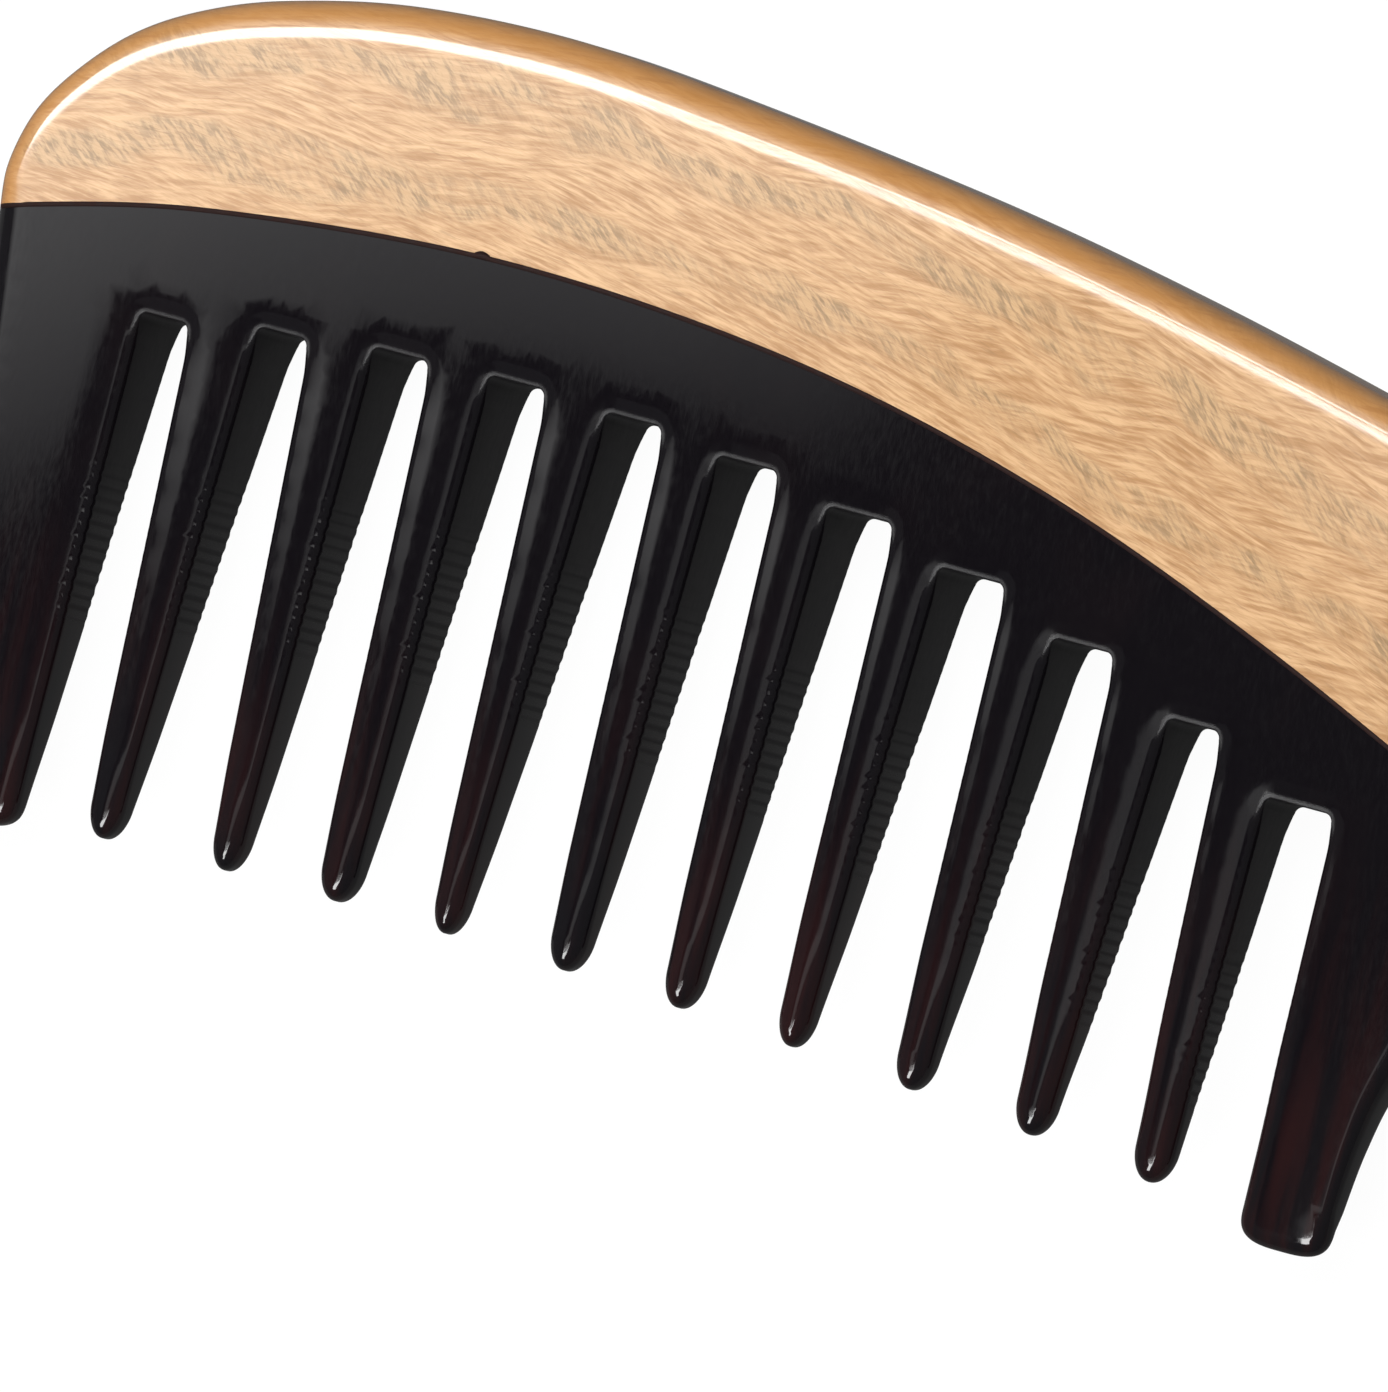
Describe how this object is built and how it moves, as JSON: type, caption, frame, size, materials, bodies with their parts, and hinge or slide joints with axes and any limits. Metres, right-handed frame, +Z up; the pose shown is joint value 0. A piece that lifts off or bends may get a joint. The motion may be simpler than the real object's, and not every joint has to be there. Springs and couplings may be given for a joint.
{
  "type": "beard comb",
  "caption": "Wide-toothed beard comb: a black horn tooth plate glued under an arched tan wooden back that runs on into a rounded handle.",
  "frame": {"origin": "centre of the length and of the height of the comb, on the plane that it lies on", "axes": "+X along the comb from the closed end towards the handle, +Y from the tooth tips towards the back, +Z up through the thickness"},
  "size_m": [0.175, 0.057, 0.0092],
  "materials": {
    "wood": "polished, feathery interlocked grain",
    "horn": "polished black horn, brown where thin",
    "glue": "dark set adhesive",
    "bamboo": "raw split bamboo"
  },
  "bodies": {
    "root": {"wooden_back": "wood", "horn_tooth_plate": "horn", "glue_line": "glue", "dowel_pin_1": "bamboo", "dowel_pin_2": "bamboo", "dowel_pin_3": "bamboo", "dowel_pin_4": "bamboo"}
  },
  "joints": []
}
